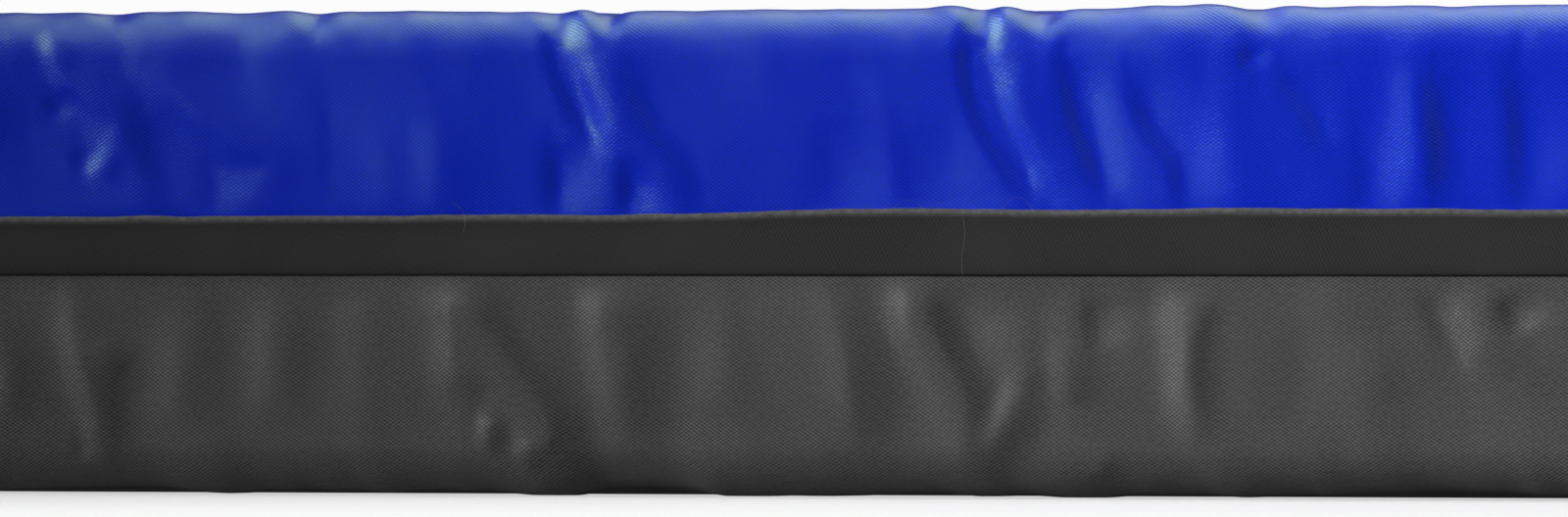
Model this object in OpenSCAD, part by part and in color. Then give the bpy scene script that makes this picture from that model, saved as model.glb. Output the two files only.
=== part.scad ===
// Foam-cored tumbling mat: three bonded foam layers in a loose two-part fabric cover, joined by a
// zip that runs along the front and both ends, with a cloth flap over it and carry handles.
// Millimetres. X is the length, Y the width, Z up, origin at the middle of the underside.
// Every strip that runs round the mat is one outline, drawn as distance out from the centre of the
// mat's rounded corner against height, and swept along the straight walls and round the corners.

/* [Mat] */
// Length of the mat
mat_length = 2000; // [1200:50:3000]
// Width of the mat
mat_width = 1000; // [800:50:2000]
// Thickness of the mat
mat_thickness = 150; // [150:5:200]
// Radius of the upright corners
corner_radius = 32; // [32:1:60]
// Radius of the long top and bottom edges
edge_radius = 15; // [8:1:20]

/* [Cover] */
// Thickness of the cover cloth with its backing
cloth = 1.2; // [0.8:0.1:2]
// Height of the stitch line that holds the flap
stitch_z = 68.4; // [60:0.1:75]
// Height of the flap above its stitch line
flap_height = 18.3; // [17:0.1:22]
// Thickness of the folded flap
flap_thickness = 1.6; // [1:0.1:2.5]

/* [Zip] */
// Height of the slot between the two hems
slot_height = 15.6; // [15:0.1:16]
// Where the zip ends on each side wall, measured from the middle
zip_end = 452; // [300:1:452]
// Travel of each zip slider along its side wall
slider_travel = 850; // [400:10:850]

/* [Handles] */
// Distance of each handle from the middle of the mat
handle_x = 620; // [200:10:850]
// Clear width between the two legs of a handle
handle_gap = 100; // [90:5:140]
// Width of the handle webbing
webbing_width = 30; // [20:1:40]

/* [Foam] */
// Thickness of the firm top and bottom foam layers
skin_layer = 30; // [20:1:40]

/* [Hidden] */
$fn = 48;

blue = [0.09, 0.14, 0.70];
charcoal = [0.24, 0.24, 0.25];
black = [0.18, 0.18, 0.19];

fold = 0.3;                                   // air between cloth that only lies on cloth
// centres of the upright corners
cx = mat_length / 2 - corner_radius;
cy = mat_width / 2 - corner_radius;
wall = corner_radius;                         // outer face of the walls, as an outline distance
foam_wall = wall - cloth - fold;              // outer face of the foam
foam_top = mat_thickness - cloth - fold;
foam_bottom = cloth + fold;

// zip, from the inside out
slot_top = stitch_z + slot_height;
zip_z = (stitch_z + slot_top) / 2;
hem_depth = 9.1;                              // how far the hems turn in behind the wall
tape_thickness = 0.8;
tape_out = wall - hem_depth;                  // outer face of the tapes, where the hems are sewn
tape_in = tape_out - tape_thickness;
coil_radius = 1.3;
coil_gap = 2.6;                               // clear height between the coils, for the slider's post
coil_offset = coil_gap / 2 + coil_radius;
hem_height = 7.8;                             // how far a hem runs up or down the tape
tape_reach = 15.8;                            // how far a tape reaches from the middle of the zip
groove_floor = tape_in - 2.6;
groove_half = tape_reach + 2;

// slider, also from the inside out
plate = 1.6;
plate_half = 6.5;
plate_length = 18;
plate_back_in = tape_in - fold - plate;
plate_front_in = tape_out + 2 * coil_radius + 0.6;
plate_front_out = plate_front_in + plate;
bail_axis = plate_front_out + 2.2;
pin_radius = 0.95;
pin_clearance = 0.05;
eye_radius = 1.9;
tab_thickness = 1.4;
tab_length = 24;
tab_half = 3.6;
post_half = 1;
slider_home = zip_end - 27;                   // closed, with the slider beyond the end of the flap
flap_end = zip_end - 56;                      // where the side flaps stop and leave the slider free
stop_length = 4;
coil_end = zip_end - 6.5;

// handles, measured out from the wall
webbing = 2.4;
patch_top = stitch_z - 2.4;
patch_height = 30;
leg_in = webbing + 0.6;
leg_top = patch_top - 1;
grip_radius = 10.5;
grip_out = grip_radius + 1.5;
grip_z = 21;
grip_length = handle_gap + 2 * webbing_width;

// vents and joining strips on the two ends
vent_hole = 5;
vent_barrel = 5.6;
vent_flange = 9.5;
vent_sheet = 0.8;
vent_z = 108;
vent_spacing = 200;
strip_low = 12;
strip_high = 62;
strip_length = 800;
strip_thickness = 1.8;

flap_gap = 2;                                 // between the end of a flap and its neighbour

// ---- sweeps ----

// an outline along a straight wall, centred, standing out along +Y
module straight(length) {
    rotate([90, 0, 90]) linear_extrude(length, center = true) children();
}

// an outline along the front wall
module front_run(length = 2 * cx) {
    rotate([0, 0, 180]) translate([0, cy, 0]) straight(length) children();
}

// an outline along the back wall
module back_run() {
    translate([0, cy, 0]) straight(2 * cx) children();
}

// an outline along the left (-1) or right (1) wall, between two places on Y
module side_run(side, from, to) {
    rotate([0, 0, -90 * side])
        translate([-side * (from + to) / 2, cx, 0]) straight(to - from) children();
}

// an outline round one upright corner, x and y each -1 or 1
module corner_run(x, y) {
    angle = x > 0 ? (y > 0 ? 0 : 270) : (y > 0 ? 90 : 180);
    translate([x * cx, y * cy, 0]) rotate([0, 0, angle]) rotate_extrude(angle = 90) children();
}

// the stretch with the zip: the front, its two corners, and the sides as far as the zip's end
module zip_stretch(end = zip_end) {
    front_run() children();
    for (x = [-1, 1]) {
        corner_run(x, -1) children();
        side_run(x, -cy, end) children();
    }
}

// the stretch without: the rest of the sides, the back and its two corners
module plain_stretch() {
    back_run() children();
    for (x = [-1, 1]) {
        corner_run(x, 1) children();
        side_run(x, zip_end, cy) children();
    }
}

module all_round() {
    front_run() children();
    back_run() children();
    for (x = [-1, 1]) {
        side_run(x, -cy, cy) children();
        for (y = [-1, 1]) corner_run(x, y) children();
    }
}

// the flat middle that the swept edges close on
module middle(bottom, top) {
    translate([-cx, -cy, bottom]) cube([2 * cx, 2 * cy, top - bottom]);
}

// an upright rectangle in the outline's plane
module band(from, to, bottom, top) {
    translate([from, bottom]) square([to - from, top - bottom]);
}

// a quarter of a slab's outline: flat from 0 to out, from bottom to top, its top edge rounded
module rounded_top(out, bottom, top, r) {
    union() {
        band(0, out - r, bottom, top);
        band(0, out, bottom, top - r);
        intersection() {
            translate([out - r, top - r]) circle(r);
            band(0, out, bottom, top);
        }
    }
}

// ---- foam ----

module core_top_layer() {
    color("ivory") {
        middle(foam_top - skin_layer, foam_top);
        all_round() rounded_top(foam_wall, foam_top - skin_layer, foam_top, edge_radius - cloth);
    }
}

// the middle block is grooved where the zip presses it in, and dished behind each vent
module core_middle_block() {
    bottom = foam_bottom + skin_layer;
    top = foam_top - skin_layer;
    color("beige") difference() {
        union() {
            middle(bottom, top);
            plain_stretch() band(0, foam_wall, bottom, top);
            zip_stretch() difference() {
                band(0, foam_wall, bottom, top);
                band(groove_floor, wall, zip_z - groove_half, zip_z + groove_half);
            }
        }
        at_vents() cylinder(h = 4, r = vent_flange + 1.5, center = true);
    }
}

module core_bottom_layer() {
    color("ivory") {
        middle(foam_bottom, foam_bottom + skin_layer);
        all_round() translate([0, 2 * foam_bottom + skin_layer]) mirror([0, 1])
            rounded_top(foam_wall, foam_bottom, foam_bottom + skin_layer, edge_radius - cloth);
    }
}

// ---- cover ----

// a half cover's outline with its open edge at a height, as if it were the top half
module cover_outline(edge, top) {
    difference() {
        rounded_top(wall, edge, top, edge_radius);
        translate([0, -cloth]) rounded_top(wall - cloth, edge - 1, top, edge_radius - cloth);
    }
}

// the open edge turned in to the zip tape and up along it
module hem(edge) {
    band(tape_out, wall, edge, edge + cloth);
    band(tape_out, tape_out + cloth, edge, edge + hem_height);
}

module top_cover() {
    color(blue) difference() {
        union() {
            middle(mat_thickness - cloth, mat_thickness);
            plain_stretch() cover_outline(zip_z, mat_thickness);
            zip_stretch() {
                cover_outline(slot_top, mat_thickness);
                hem(slot_top);
            }
        }
        at_vents() cylinder(h = 12, r = vent_barrel + 0.1, center = true);
    }
}

module bottom_cover() {
    color(charcoal) {
        middle(0, cloth);
        plain_stretch() translate([0, zip_z]) mirror([0, 1]) cover_outline(0, zip_z);
        zip_stretch() translate([0, stitch_z]) mirror([0, 1]) {
            cover_outline(0, stitch_z);
            hem(0);
        }
    }
}

// covers the plain seam, sewn along both edges
module back_seam_strip() {
    color(black) plain_stretch() band(wall, wall + flap_thickness, stitch_z, stitch_z + flap_height);
}

// ---- zip ----

// side is 1 for the upper tape or coil and -1 for the lower one
module zip_tape(side) {
    inner = coil_gap / 2 + 0.1;
    low = side > 0 ? inner : -tape_reach;
    color(black) zip_stretch() band(tape_in, tape_out, zip_z + low, zip_z + low + tape_reach - inner);
}

module zip_coil(side) {
    color([0.1, 0.1, 0.1]) zip_stretch(coil_end)
        translate([tape_out + coil_radius, zip_z + side * coil_offset]) circle(coil_radius);
}

module zip_end_stops() {
    color("silver") for (x = [-1, 1]) side_run(x, coil_end + 0.2, coil_end + 0.2 + stop_length)
        band(tape_out, tape_out + 3.3, zip_z - 4.5, zip_z + 4.5);
}

// the slider stands at the outline's place on a side wall, so it is drawn with sweeps of its own
module slider_body(side) {
    from = slider_home - plate_length / 2;
    to = slider_home + plate_length / 2;
    color("dimgray") {
        side_run(side, from, to) {
            band(plate_back_in, plate_back_in + plate, zip_z - plate_half, zip_z + plate_half);
            band(plate_front_in, plate_front_out, zip_z - plate_half, zip_z + plate_half);
            // the rims that keep the coils under the front plate
            for (edge = [-plate_half, plate_half - 1.2])
                band(plate_front_in - 1.2, plate_front_in + 0.2, zip_z + edge, zip_z + edge + 1.2);
        }
        side_run(side, slider_home + 4, slider_home + 8)
            band(plate_back_in, plate_front_out, zip_z - post_half, zip_z + post_half);
        // two ears and the pin that the pull tab turns on
        side_run(side, slider_home - 1.6, slider_home + 1.6) for (z = [-6, 4.4])
            band(plate_front_in + 0.2, bail_axis + 1.6, zip_z + z, zip_z + z + 1.6);
        at_bail(side) cylinder(h = 11, r = pin_radius, center = true);
    }
}

module at_bail(side) {
    translate([side * (cx + bail_axis), slider_home, zip_z]) children();
}

module pull_tab(side) {
    color("silver") at_bail(side) difference() {
        union() {
            cylinder(h = 2 * tab_half, r = eye_radius, center = true);
            translate([-tab_thickness / 2, -tab_length + tab_half, -tab_half])
                cube([tab_thickness, tab_length - tab_half, 2 * tab_half]);
            translate([0, -tab_length + tab_half, 0]) rotate([0, 90, 0])
                cylinder(h = tab_thickness, r = tab_half, center = true);
        }
        cylinder(h = 20, r = pin_radius + pin_clearance, center = true);
        translate([0, -tab_length + tab_half + 1, 0]) rotate([0, 90, 0])
            cylinder(h = 4, r = 1.5, center = true);
    }
}

// ---- flap ----

module flap_outline() {
    from = wall + fold;
    tip = flap_thickness / 2;
    band(from, from + flap_thickness, stitch_z, stitch_z + flap_height - tip);
    translate([from + tip, stitch_z + flap_height - tip]) circle(tip);
}

module front_flap() {
    color(black) front_run(2 * cx - 2 * flap_gap) flap_outline();
}

module side_flap(side) {
    color(black) side_run(side, -cy + flap_gap, flap_end) flap_outline();
}

// the flap is sewn down round each front corner
module corner_flap(side) {
    color(black) corner_run(side, -1) translate([-fold, 0]) flap_outline();
}

// ---- handles ----

// places a handle drawn at the middle of the front wall, outward along -Y
module at_handle(x, y) {
    translate([x * handle_x, 0, 0]) rotate([0, 0, y > 0 ? 180 : 0])
        translate([0, -mat_width / 2, 0]) children();
}

module two_legs(in, out, low, high) {
    for (x = [-1, 1]) translate([x * (handle_gap + webbing_width) / 2, -(in + out) / 2, (low + high) / 2])
        cube([webbing_width, out - in, high - low], center = true);
}

module handle_anchors(x, y) {
    color(black) at_handle(x, y) two_legs(0, webbing, patch_top - patch_height, patch_top);
}

module handle_webbing(x, y) {
    color(black) at_handle(x, y) two_legs(leg_in, leg_in + webbing, grip_z + 4, leg_top);
}

module handle_grip(x, y) {
    color([0.1, 0.1, 0.1]) at_handle(x, y) translate([0, -grip_out, grip_z]) rotate([0, 90, 0])
        cylinder(h = grip_length, r = grip_radius, center = true);
}

// ---- ends ----

// three places on each end wall, along X
module at_vents(sides = [-1, 1]) {
    for (x = sides, y = [-1, 0, 1]) translate([x * (mat_length / 2 - cloth / 2), y * vent_spacing, vent_z])
        rotate([0, 90 * x, 0]) children();
}

// a pressed ring through the cloth, with a washer behind it
module vent_eyelets(side) {
    half = cloth / 2;
    color("gainsboro") at_vents([side]) rotate_extrude() {
        translate([vent_hole, -half - vent_sheet])
            square([vent_barrel - vent_hole, cloth + 2 * vent_sheet]);
        translate([vent_hole, -half - vent_sheet]) square([vent_flange - vent_hole, vent_sheet]);
        translate([vent_hole, half]) square([vent_flange - vent_hole, vent_sheet]);
    }
}

module joining_strip(side) {
    color([0.12, 0.12, 0.12]) side_run(side, -strip_length / 2, strip_length / 2)
        band(wall, wall + strip_thickness, strip_low, strip_high);
}

core_top_layer();
core_middle_block();
core_bottom_layer();
top_cover();
bottom_cover();
back_seam_strip();
zip_tape(1);  // upper_zip_tape
zip_tape(-1);  // lower_zip_tape
zip_coil(1);  // upper_zip_coil
zip_coil(-1);  // lower_zip_coil
zip_end_stops();
front_flap();
side_flap(-1);  // left_flap
side_flap(1);  // right_flap
corner_flap(-1);  // front_left_corner_flap
corner_flap(1);  // front_right_corner_flap
slider_body(-1);  // left_slider_body
pull_tab(-1);  // left_pull_tab
slider_body(1);  // right_slider_body
pull_tab(1);  // right_pull_tab
handle_anchors(-1, -1);  // front_left_handle_anchors
handle_webbing(-1, -1);  // front_left_handle_webbing
handle_grip(-1, -1);  // front_left_handle_grip
handle_anchors(1, -1);  // front_right_handle_anchors
handle_webbing(1, -1);  // front_right_handle_webbing
handle_grip(1, -1);  // front_right_handle_grip
handle_anchors(-1, 1);  // back_left_handle_anchors
handle_webbing(-1, 1);  // back_left_handle_webbing
handle_grip(-1, 1);  // back_left_handle_grip
handle_anchors(1, 1);  // back_right_handle_anchors
handle_webbing(1, 1);  // back_right_handle_webbing
handle_grip(1, 1);  // back_right_handle_grip
vent_eyelets(-1);  // left_vent_eyelets
vent_eyelets(1);  // right_vent_eyelets
joining_strip(-1);  // left_hook_strip
joining_strip(1);  // right_loop_strip
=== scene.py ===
"""The looks of the tumbling mat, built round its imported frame. Metres, in the frame's own axes."""
import math

import bpy
import numpy as np
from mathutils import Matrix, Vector, geometry


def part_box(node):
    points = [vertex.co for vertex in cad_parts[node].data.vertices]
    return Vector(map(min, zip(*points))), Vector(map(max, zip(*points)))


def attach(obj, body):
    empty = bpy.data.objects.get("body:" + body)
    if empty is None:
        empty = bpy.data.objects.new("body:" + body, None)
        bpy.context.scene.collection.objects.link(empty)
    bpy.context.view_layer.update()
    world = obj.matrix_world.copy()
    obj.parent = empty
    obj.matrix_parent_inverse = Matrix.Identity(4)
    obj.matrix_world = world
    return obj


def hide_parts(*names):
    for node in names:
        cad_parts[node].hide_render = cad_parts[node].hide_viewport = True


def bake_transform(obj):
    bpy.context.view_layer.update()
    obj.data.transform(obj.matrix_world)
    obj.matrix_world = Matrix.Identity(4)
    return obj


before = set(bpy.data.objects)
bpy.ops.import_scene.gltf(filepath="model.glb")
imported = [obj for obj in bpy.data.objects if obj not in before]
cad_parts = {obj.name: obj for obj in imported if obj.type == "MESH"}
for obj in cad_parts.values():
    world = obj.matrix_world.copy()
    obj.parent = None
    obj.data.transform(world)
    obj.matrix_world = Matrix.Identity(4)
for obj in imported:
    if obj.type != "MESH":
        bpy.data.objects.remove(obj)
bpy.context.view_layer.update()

MM = 0.001

# ---------------- sizes read from the frame
HALF_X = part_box("top_cover")[1].x
HALF_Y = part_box("top_cover")[1].y
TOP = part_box("top_cover")[1].z
FLAP_LOW, FLAP_HIGH = (corner.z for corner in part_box("front_flap"))
TAPE_FACE = HALF_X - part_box("upper_zip_tape")[1].x  # how far in from the wall the zip's tape lies
ZIP_Z = (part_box("upper_zip_coil")[0].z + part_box("lower_zip_coil")[1].z) / 2
LOWER_HEM = FLAP_LOW
UPPER_HEM = 2 * ZIP_Z - FLAP_LOW  # the slot is centred on the zip
CORNER = 32 * MM  # radius of the upright corners
EDGE = 15 * MM  # radius of the long edges
CX = HALF_X - CORNER  # the corners' centres
CY = HALF_Y - CORNER
ARC = CORNER * math.pi / 2
AROUND = 4 * (CX + CY + ARC)  # the way round the wall

# ---------------- camera
VIEW_YAW = math.radians(20)
VIEW_DISTANCE = 5.9
VIEW_WIDTH = 0.480  # what the picture spans at the wall, square on
VIEW_Z = 0.0732


def add_object(name, data):
    thing = bpy.data.objects.new(name, data)
    bpy.context.scene.collection.objects.link(thing)
    return thing


def aim(thing, place, direction):
    thing.location = place
    thing.rotation_mode = "QUATERNION"
    thing.rotation_quaternion = direction.to_track_quat("-Z", "Y")


def make_camera():
    data = bpy.data.cameras.new("camera")
    data.lens = data.sensor_width * VIEW_DISTANCE / VIEW_WIDTH
    data.clip_end = 500
    camera = add_object("camera", data)
    back = Vector((math.sin(VIEW_YAW), -math.cos(VIEW_YAW), 0))
    aim(camera, Vector((0, -HALF_Y, VIEW_Z)) + back * VIEW_DISTANCE, -back)
    bpy.context.scene.camera = camera


make_camera()


# ---------------- mesh helpers
def add_mesh(name, points, faces, uvs=None, smooth=True):
    """A new object. uvs are one pair for each corner of each face, in metres on the flat cloth."""
    mesh = bpy.data.meshes.new(name)
    mesh.from_pydata(np.asarray(points).tolist(), [], [list(map(int, f)) for f in faces])
    if uvs is not None:
        mesh.uv_layers.new(name="cloth").data.foreach_set("uv", np.asarray(uvs, np.float32).ravel())
    mesh.polygons.foreach_set("use_smooth", [smooth] * len(mesh.polygons))
    return add_object(name, mesh)


def grid_faces(rows, columns, rows_close=False, columns_close=False):
    """Quads of a grid whose vertices run row by row."""
    row, column = np.meshgrid(np.arange(rows if rows_close else rows - 1),
                              np.arange(columns if columns_close else columns - 1), indexing="ij")
    up = (row + 1) % rows
    right = (column + 1) % columns
    corners = [row * columns + column, row * columns + right, up * columns + right, up * columns + column]
    return np.stack(corners, axis=-1).reshape(-1, 4), row.ravel(), column.ravel()


def grid_piece(name, points, u, v, tube=False):
    """A piece from a grid of points: u is each column's place on the flat cloth, v each row's. A tube
    goes round its rows, and both its ends are closed."""
    rows, columns = points.shape[:2]
    faces, row, column = grid_faces(rows, columns, rows_close=tube)
    u = np.append(u, 2 * u[-1] - u[-2])
    v = np.append(v, 2 * v[-1] - v[-2])
    uvs = np.stack([np.stack([u[column + i], v[row + j]], -1)
                    for i, j in ((0, 0), (1, 0), (1, 1), (0, 1))], 1)
    faces = faces.tolist()
    uvs = uvs.reshape(-1, 2).tolist()
    if tube:
        for end, order in ((0, 1), (columns - 1, -1)):
            faces.append([r * columns + end for r in range(rows)][::order])
            uvs += [(u[end], v[r]) for r in range(rows)][::order]
    return add_mesh(name, points.reshape(-1, 3), faces, uvs)


def around(d):
    """The point on the corner-centre rectangle and the outward direction, at a distance d round the
    wall from the middle of the front, positive towards the right end."""
    d = (np.asarray(d, float) + AROUND / 2) % AROUND - AROUND / 2
    base = np.zeros(d.shape + (2,))
    out = np.zeros(d.shape + (2,))
    start = 0.0
    mirror = np.sign(d)
    far = np.abs(d)
    stretches = ((CX, (0, -CY), -90), (2 * CY, (CX, -CY), 0), (CX, (CX, CY), 90))
    for length, (x, y), angle in stretches:
        normal = np.array([math.cos(math.radians(angle)), math.sin(math.radians(angle))])
        forward = np.array([-normal[1], normal[0]])
        here = (far >= start) & (far <= start + length)
        base[here] = np.array([x, y]) + forward * (far[here] - start)[:, None]
        out[here] = normal
        start += length
        turn = np.radians(angle) + (far - start) / CORNER
        bend = (far > start) & (far < start + ARC)
        base[bend] = np.array([x, y]) + forward * length
        out[bend] = np.stack([np.cos(turn), np.sin(turn)], -1)[bend]
        start += ARC
    flip = np.stack([np.where(mirror < 0, -1, 1), np.ones(d.shape)], -1)
    return base * flip, out * flip


def swept(d, r, z):
    """Points at distances d round the wall, r out from the corner centres and z up."""
    base, out = around(d)
    xy = base[None] + out[None] * np.broadcast_to(r, (len(r), len(d)))[..., None]
    return np.concatenate([xy, np.broadcast_to(z, (len(r), len(d)))[..., None]], -1)


def wall_line(d, r, z):
    """Points round the wall, each at its own d, r and z."""
    return swept(d, np.atleast_2d(r), np.atleast_2d(z))[0]


def running_length(steps):
    """How far along each point is, from the steps between them."""
    return np.concatenate([[0], np.cumsum(steps)])


def ease(share):
    """Goes smoothly from 0 to 1 as the share does, and stays there outside."""
    share = np.clip(share, 0, 1)
    return share * share * (3 - 2 * share)


def value_noise(u, v, cell, seed, wraps=None):
    """Smooth noise from -1 to 1. wraps is the distance after which u comes round again."""
    columns, rows = 509, 127
    table = np.random.default_rng(seed).uniform(-1, 1, (columns, rows))
    cells_round = max(1, round(wraps / cell)) if wraps else columns
    x = np.asarray(u) / (wraps / cells_round if wraps else cell)
    y = np.asarray(v) / cell
    i = np.floor(x).astype(int)
    j = np.floor(y).astype(int)
    fx, fy = ease(x - i), ease(y - j)

    def lattice(di, dj):
        return table[(i + di) % cells_round % columns, (j + dj) % rows]

    low = lattice(0, 0) * (1 - fx) + lattice(1, 0) * fx
    high = lattice(0, 1) * (1 - fx) + lattice(1, 1) * fx
    return low * (1 - fy) + high * fy


def wave(d, cell, seed):
    """Smooth noise along the wall, for distances d in metres and cells in mm."""
    return value_noise(d / MM, 0 * d, cell, seed)


def add_threads(name, lines, radius, sides=4):
    """Thin round threads along the lines, an array of (thread, place on it, xyz)."""
    lines = np.asarray(lines, float)
    count, places = lines.shape[:2]
    along = np.gradient(lines, axis=1)
    along /= np.linalg.norm(along, axis=2, keepdims=True) + 1e-12
    aside = np.cross(along, [0.31, 0.22, 0.93])
    aside /= np.linalg.norm(aside, axis=2, keepdims=True) + 1e-12
    other = np.cross(along, aside)
    turn = 2 * math.pi * np.arange(sides) / sides
    ring = aside[:, :, None] * np.cos(turn)[:, None] + other[:, :, None] * np.sin(turn)[:, None]
    points = (lines[:, :, None] + ring * radius).reshape(-1, 3)
    faces, _, _ = grid_faces(places, sides, columns_close=True)
    every = (faces[None] + (np.arange(count) * places * sides)[:, None, None]).reshape(-1, 4)
    return add_mesh(name, points, every)


STITCH_PITCH = 3.4 * MM


def stitch_lines(start, end, out):
    """Short raised stitches in a row from start to end, on a face that looks along out."""
    start, end, out = (np.array(p, float) for p in (start, end, out))
    span = np.linalg.norm(end - start)
    forward = (end - start) / span
    length = 2.5 * MM
    count = max(1, int(span / STITCH_PITCH))
    first = np.arange(count) * span / count + (span / count - length) / 2
    t = np.array([0, 0.2, 0.5, 0.8, 1.0])
    rise = np.array([-0.6, 0.7, 1.0, 0.7, -0.6]) * 0.25 * MM
    return (start + forward * (first[:, None] + t * length)[..., None]
            + out * rise[None, :, None])


# ---------------- folds
# A fold is a list of places on the unrolled wall, (distance along, height), in millimetres, from its
# top down, then its rise and its width. A ridge is steeper on its left than on its right. A negative
# rise is a groove: steep on its left, gentle on its right.
BLUE_CREASES = [
    ([(-243, 143), (-238, 130), (-228, 123), (-220, 117), (-218, 108)], 0.9, 4.0),
    ([(-242, 124), (-239, 116)], -0.5, 4.0),
    ([(-233, 108), (-231, 99)], -0.6, 3.6),
    ([(-222, 108), (-226, 98)], 0.6, 3.4),
    ([(-211, 131), (-198, 121), (-184, 112), (-168, 104), (-171, 99)], 1.0, 4.6),
    ([(-212, 116), (-205, 103), (-198, 91)], -0.7, 7.0),
    ([(-188, 106), (-186, 90)], -0.5, 7.0),
    ([(-150, 124), (-148, 108), (-149, 90)], -0.4, 6.0),
    ([(-113, 116), (-112, 104), (-113, 90)], 0.6, 7.0),
    ([(-77, 140), (-73, 130), (-68, 120), (-61, 109)], -1.7, 3.8),
    ([(-76, 108), (-74, 100), (-74, 88)], -1.0, 5.0),
    ([(-63, 136), (-58, 122), (-50, 110), (-38, 99), (-34, 90)], 1.9, 7.5),
    ([(-50, 128), (-42, 116), (-31, 102), (-25, 91)], -0.5, 3.4),
    ([(-52, 104), (-50, 96), (-51, 87)], -0.9, 4.4),
    ([(15, 116), (16, 102), (15, 88)], -0.6, 8.0),
    ([(38, 112), (42, 98), (43, 87)], -0.6, 7.0),
    ([(59, 141), (62, 128), (65, 118), (72, 106), (81, 94)], -2.3, 4.6),
    ([(70, 132), (76, 120), (83, 105), (92, 94)], 0.9, 6.0),
    ([(91, 134), (95, 120), (100, 106), (106, 93)], -1.3, 4.8),
    ([(113, 128), (120, 114), (128, 103), (130, 90)], -1.3, 5.0),
    ([(140, 128), (144, 112), (147, 98)], 0.5, 6.0),
    ([(150, 138), (151, 131)], -0.8, 3.4),
    ([(162, 130), (166, 123), (172, 116), (175, 108)], -0.8, 4.4),
    ([(184, 118), (187, 104), (188, 88)], -0.6, 6.0),
    ([(202, 132), (204, 112), (204, 88)], 0.9, 7.0),
    ([(210, 128), (212, 108), (212, 88)], -0.8, 5.0),
    ([(236, 130), (238, 110), (239, 87)], -1.1, 6.5),
]
GREY_CREASES = [
    ([(-236, 58), (-231, 40), (-227, 28), (-226, 20), (-229, 10)], 1.2, 5.0),
    ([(-227, 48), (-218, 37)], 0.7, 3.4),
    ([(-233, 18), (-231, 10)], -0.6, 3.0),
    ([(-200, 56), (-198, 36), (-201, 20)], 0.5, 8.0),
    ([(-169, 60), (-167, 42), (-170, 22)], 0.6, 8.0),
    ([(-143, 60), (-138, 40), (-140, 20)], 0.6, 8.0),
    ([(-108, 64), (-105, 48), (-107, 30)], 0.8, 6.5),
    ([(-99, 50), (-90, 36), (-80, 23), (-74, 14)], 1.9, 4.8),
    ([(-62, 64), (-56, 46), (-53, 32), (-48, 18)], 1.3, 6.5),
    ([(-96, 25), (-96, 14)], 0.8, 3.4),
    ([(-85, 17), (-83, 8)], 0.7, 3.4),
    ([(-20, 58), (-18, 40), (-20, 22)], 0.5, 9.0),
    ([(15, 62), (21, 46), (24, 30), (25, 18)], 1.2, 7.0),
    ([(38, 66), (45, 50), (55, 34), (60, 20), (61, 12)], 1.9, 5.4),
    ([(50, 62), (56, 46), (62, 34)], -0.5, 4.2),
    ([(66, 54), (76, 44), (84, 34)], 0.8, 6.0),
    ([(77, 34), (73, 24), (67, 12)], 1.0, 5.0),
    ([(88, 48), (92, 38), (95, 28)], 0.9, 5.0),
    ([(99, 60), (103, 46)], -0.7, 5.0),
    ([(104, 13), (101, 7), (96, 3)], 0.5, 2.6),
    ([(127, 62), (131, 46), (132, 30), (136, 16)], 1.5, 6.5),
    ([(143, 60), (138, 48), (137, 34), (142, 22)], -0.5, 5.0),
    ([(165, 56), (168, 36), (166, 22)], -0.5, 8.0),
    ([(190, 50), (194, 30)], 0.4, 9.0),
    ([(206, 63), (214, 50), (221, 42)], -0.9, 5.0),
    ([(212, 62), (224, 48), (236, 39)], 1.1, 6.5),
    ([(231, 62), (237, 50)], -1.0, 5.0),
]
# A pinch is a hollow across the top edge, where the cloth is drawn in. It has the place and height of
# its lower tip, how far it leans on its way up, its depth and its width.
TOP_PINCHES = [
    (-222, 144, -4, 0.9, 7.0),
    (-155, 137, -3, 0.7, 5.0),
    (-71, 134, -7, 1.1, 5.0),
    (-57, 138, -5, 1.9, 5.0),
    (68, 133, -8, 1.8, 5.0),
    (84, 138, -5, 2.1, 6.5),
    (157, 139, -9, 1.5, 6.5),
    (176, 142, -5, 0.6, 6.0),
    (215, 144, -4, 0.5, 6.0),
]
REST_GAP = 0.2 * MM  # the cover's lowest points stand this far up
WINDOW = 0.295  # half of the stretch with the finest mesh
EDGE_END = 158  # where the top edge's rounding ends on the flat cloth, in mm
HAND_MADE = 262  # no random folds nearer the middle, in mm
HELD_MARGIN = 9  # how soon cloth is free beside a held area, in mm
VENT_HEIGHT = 108  # of the vents' middles, in mm
VENT_PLACES = (-200, 0, 200)  # along each end, in mm
HANDLE_PLACE = 620  # of a handle's middle from the wall's, in mm
HANDLE_LEG = 65  # from a handle's middle to each of its patches, in mm
RIDGE_REACH = (1.05, 1.5)  # how far a ridge's left and right sides reach, in its widths
GROOVE_REACH = (0.75, 1.9)


def smooth_line(points, parts=5):
    """A Catmull-Rom curve through the points."""
    p = np.array([points[0], *points, points[-1]], float)
    t = np.arange(parts)[:, None] / parts
    curve = []
    for a, b, c, d in zip(p, p[1:], p[2:], p[3:]):
        curve.append(0.5 * (2 * b + (c - a) * t + (2 * a - 5 * b + 4 * c - d) * t ** 2
                            + (3 * b - a - 3 * c + d) * t ** 3))
    return np.concatenate(curve + [p[-1:]])


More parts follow.
